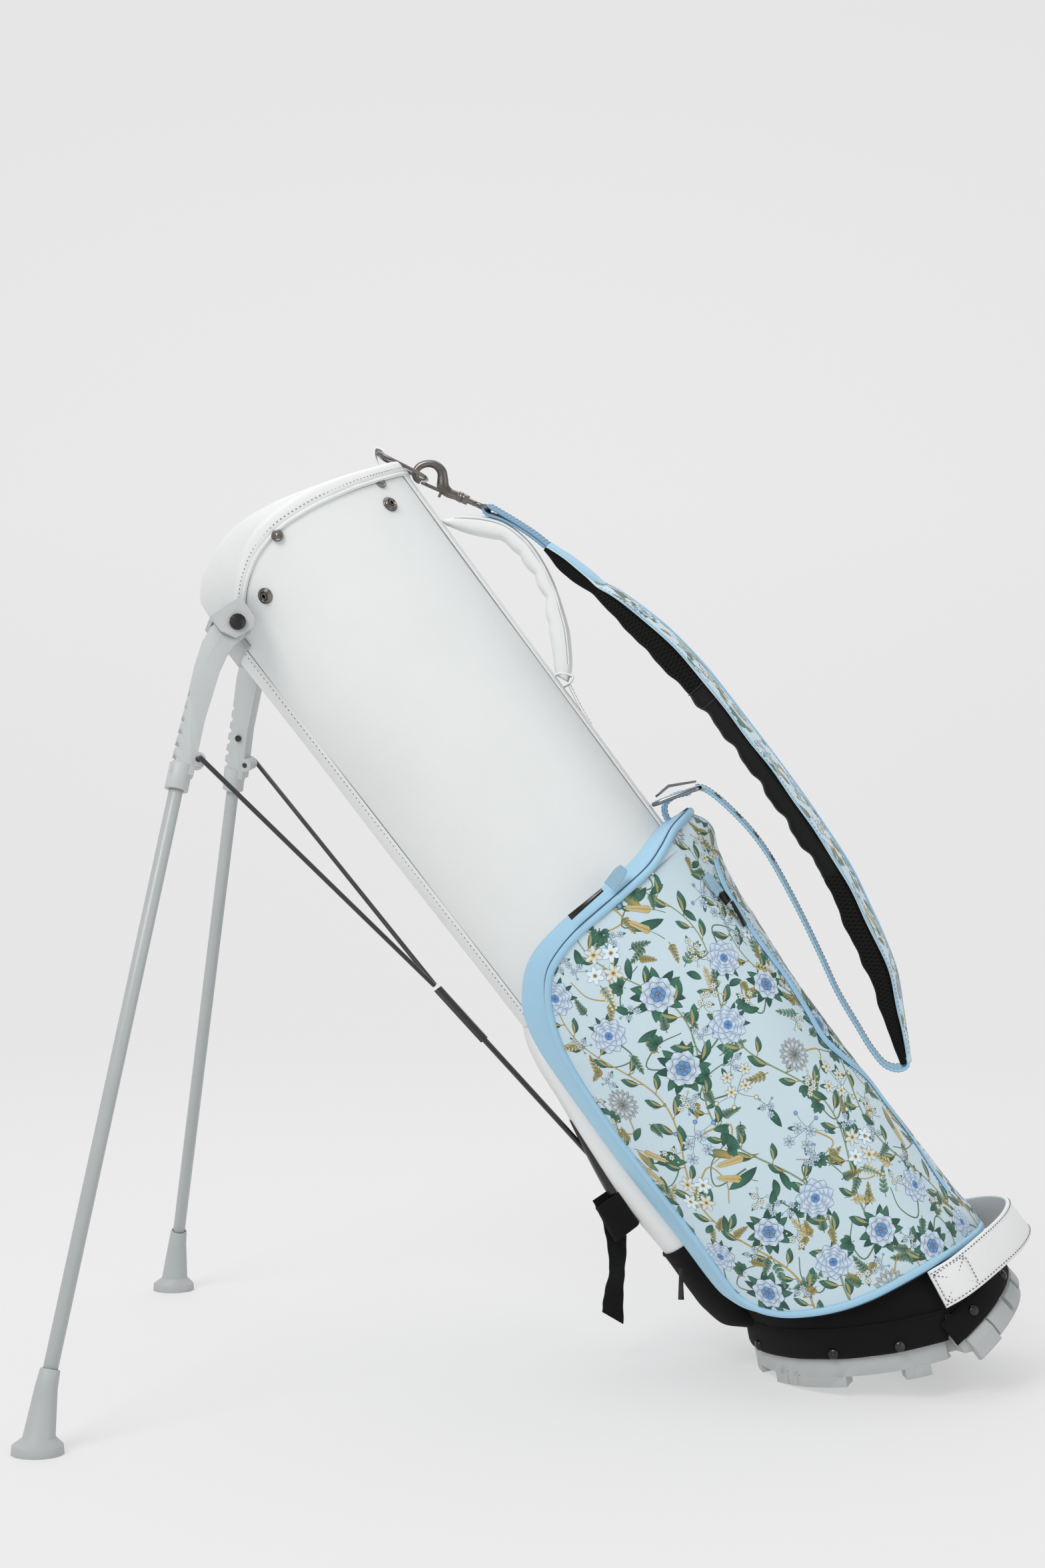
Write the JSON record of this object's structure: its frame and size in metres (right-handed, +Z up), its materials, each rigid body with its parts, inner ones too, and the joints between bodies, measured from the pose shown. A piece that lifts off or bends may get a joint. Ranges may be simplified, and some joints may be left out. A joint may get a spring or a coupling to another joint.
{
  "type": "golf stand bag",
  "caption": "Golf carry bag leaning back on fold-out legs, with a hinged base, front pocket, padded shoulder strap, grab handle and snap hook.",
  "frame": {"origin": "on the floor, in the bag's plane of symmetry, half way between the toes of the legs' feet and the rear of the base (the bottom centre of the bounding box at rest)", "axes": "+Z up, +X from the feet of the legs towards the base, +Y towards the far leg; the near leg is on -Y"},
  "size_m": [0.8412, 0.577, 0.8174],
  "materials": {
    "white_leather": "satin coated leather, fine grain",
    "blue_trim": "coated blue webbing and piping",
    "floral_cloth": null,
    "black_cloth": "black webbing and woven cloth",
    "grey_plastic": "pale grey moulded plastic",
    "painted_tube": "pale grey paint on tube",
    "black_steel": "black coated steel",
    "gunmetal": "dark nickel",
    "chrome": "bright plated",
    "spring_steel": "plain steel",
    "black_plastic": "black moulded plastic"
  },
  "bodies": {
    "bag": {"bag_tube": "white_leather", "top_collar": "white_leather", "rim_band": "white_leather", "club_divider": "black_cloth", "spine_stay": "spring_steel", "belly_channel": "white_leather", "lower_cover": "black_cloth", "rod_lip": "black_plastic", "main_pocket": "floral_cloth", "base_rear": "grey_plastic", "base_hinge_pin": "spring_steel", "base_sleeve": "black_cloth", "lift_loop": "white_leather", "leg_bracket": "grey_plastic", "ring_tab": "white_leather", "strap_anchor": "blue_trim", "keeper_loop": "black_cloth", "near_pivot_bolt": "black_steel", "far_pivot_bolt": "black_steel"},
    "base_plate": {"base_front": "grey_plastic", "sleeve_hem": "black_cloth"},
    "near_leg": {"near_leg_arm": "grey_plastic", "near_leg_tube": "painted_tube", "near_arm_screw": "gunmetal", "near_rod_pin": "black_steel", "near_foot": "grey_plastic"},
    "far_leg": {"far_leg_arm": "grey_plastic", "far_leg_tube": "painted_tube", "far_arm_screw": "gunmetal", "far_rod_pin": "black_steel", "far_foot": "grey_plastic"},
    "actuator": {"near_lower_rod": "black_steel", "far_lower_rod": "black_steel", "rod_sleeve": "black_steel"},
    "near_rod": {"near_upper_rod": "black_steel"},
    "far_rod": {"far_upper_rod": "black_steel"},
    "handle": {"grab_handle": "white_leather"},
    "ring": {"top_ring": "gunmetal"},
    "strap": {"strap_pad": "floral_cloth", "strap_webbing": "blue_trim", "strap_tail": "blue_trim", "swivel_eye": "gunmetal"},
    "hook": {"hook_body": "gunmetal"},
    "hook_trigger": {"hook_bolt": "gunmetal"},
    "buckle": {"buckle_frame": "chrome"},
    "buckle_pin": {"buckle_prong": "chrome"},
    "zip_slider": {"main_zip_slider": "gunmetal"},
    "zip_pull": {"main_zip_pull": "gunmetal"},
    "top_zip_pull": {"side_zip_pull": "gunmetal"},
    "cover_zip_pull": {"base_zip_pull": "gunmetal"},
    "leg_strap": {"leg_strap_end": "black_cloth"}
  },
  "joints": [
    {"name": "near_leg_fold", "type": "hinge", "parent": "bag", "child": "near_leg", "pos_m": [-0.27435, -0.1, 0.65147], "axis": [0.2721, -0.9401, 0.2056], "range_deg": [0, 48]},
    {"name": "far_leg_fold", "type": "hinge", "parent": "bag", "child": "far_leg", "pos_m": [-0.27435, 0.1, 0.65147], "axis": [-0.2721, -0.9401, -0.2056], "range_deg": [-0.5, 48.5]},
    {"name": "base_plate_hinge", "type": "hinge", "parent": "bag", "child": "base_plate", "pos_m": [0.32452, 0, 0.05866], "axis": [0, 1, 0], "range_deg": [-27.77, 0.5]},
    {"name": "actuator_slide", "type": "slide", "parent": "bag", "child": "actuator", "axis": [0.6763, 0, -0.7366], "range_m": [-0.001, 0.0583]},
    {"name": "near_rod_swing", "type": "hinge", "parent": "actuator", "child": "near_rod", "pos_m": [-0.10965, -0.0032, 0.33474], "axis": [0.2721, -0.9401, 0.2056], "range_deg": [-17.7, 0.5]},
    {"name": "far_rod_swing", "type": "hinge", "parent": "actuator", "child": "far_rod", "pos_m": [-0.10965, 0.0032, 0.33474], "axis": [-0.2721, -0.9401, -0.2056], "range_deg": [-17.7, 0.5]},
    {"name": "handle_swing", "type": "hinge", "parent": "bag", "child": "handle", "pos_m": [-0.10329, 0, 0.74937], "axis": [0.5937, 0, -0.8047], "range_deg": [-36, 36]},
    {"name": "ring_tilt", "type": "hinge", "parent": "bag", "child": "ring", "pos_m": [-0.16131, 0, 0.81206], "axis": [0, 1, 0], "range_deg": [-8, 0]},
    {"name": "strap_swing", "type": "hinge", "parent": "bag", "child": "strap", "pos_m": [-0.12044, 0, 0.79031], "axis": [0.663, 0, -0.7486], "range_deg": [-20, 20]},
    {"name": "hook_swivel", "type": "hinge", "parent": "strap", "child": "hook", "pos_m": [-0.12511, 0, 0.78967], "axis": [0.9119, 0, -0.4105], "range_deg": [-15, 15]},
    {"name": "hook_trigger_slide", "type": "slide", "parent": "hook", "child": "hook_trigger", "axis": [0.9119, 0, -0.4105], "range_m": [0, 0.007]},
    {"name": "buckle_tilt", "type": "hinge", "parent": "bag", "child": "buckle", "pos_m": [0.0841, 0, 0.49966], "axis": [0, 1, 0], "range_deg": [-8, 8]},
    {"name": "buckle_prong_lift", "type": "hinge", "parent": "buckle", "child": "buckle_pin", "pos_m": [0.08486, 0, 0.50612], "axis": [0, 1, 0], "range_deg": [-45, 0]},
    {"name": "main_zip_slide", "type": "slide", "parent": "bag", "child": "zip_slider", "axis": [0.5881, 0.011, -0.8087], "range_m": [0, 0.07]},
    {"name": "main_zip_pull_lift", "type": "hinge", "parent": "zip_slider", "child": "zip_pull", "pos_m": [0.1482, -0.06619, 0.41674], "axis": [-0.4109, -0.8572, -0.3105], "range_deg": [0, 100]},
    {"name": "top_zip_pull_lift", "type": "hinge", "parent": "bag", "child": "top_zip_pull", "pos_m": [0.03704, -0.12569, 0.42927], "axis": [-0.6028, 0, 0.7979], "range_deg": [0, 60]},
    {"name": "cover_zip_pull_lift", "type": "hinge", "parent": "bag", "child": "cover_zip_pull", "pos_m": [0.106, -0.034, 0.09409], "axis": [0, 1, 0], "range_deg": [-20, 40]},
    {"name": "leg_strap_swing", "type": "hinge", "parent": "bag", "child": "leg_strap", "pos_m": [0.03781, 0, 0.12529], "axis": [0, 1, 0], "range_deg": [-12, 12]}
  ],
  "couplings": [
    {"joint": "far_leg_fold", "follows": "near_leg_fold", "ratio": 1},
    {"joint": "base_plate_hinge", "follows": "near_leg_fold", "ratio": -0.56812},
    {"joint": "actuator_slide", "follows": "near_leg_fold", "m_per_rad": 0.068397},
    {"joint": "near_rod_swing", "follows": "near_leg_fold", "ratio": -0.35833},
    {"joint": "far_rod_swing", "follows": "near_leg_fold", "ratio": -0.35833}
  ]
}
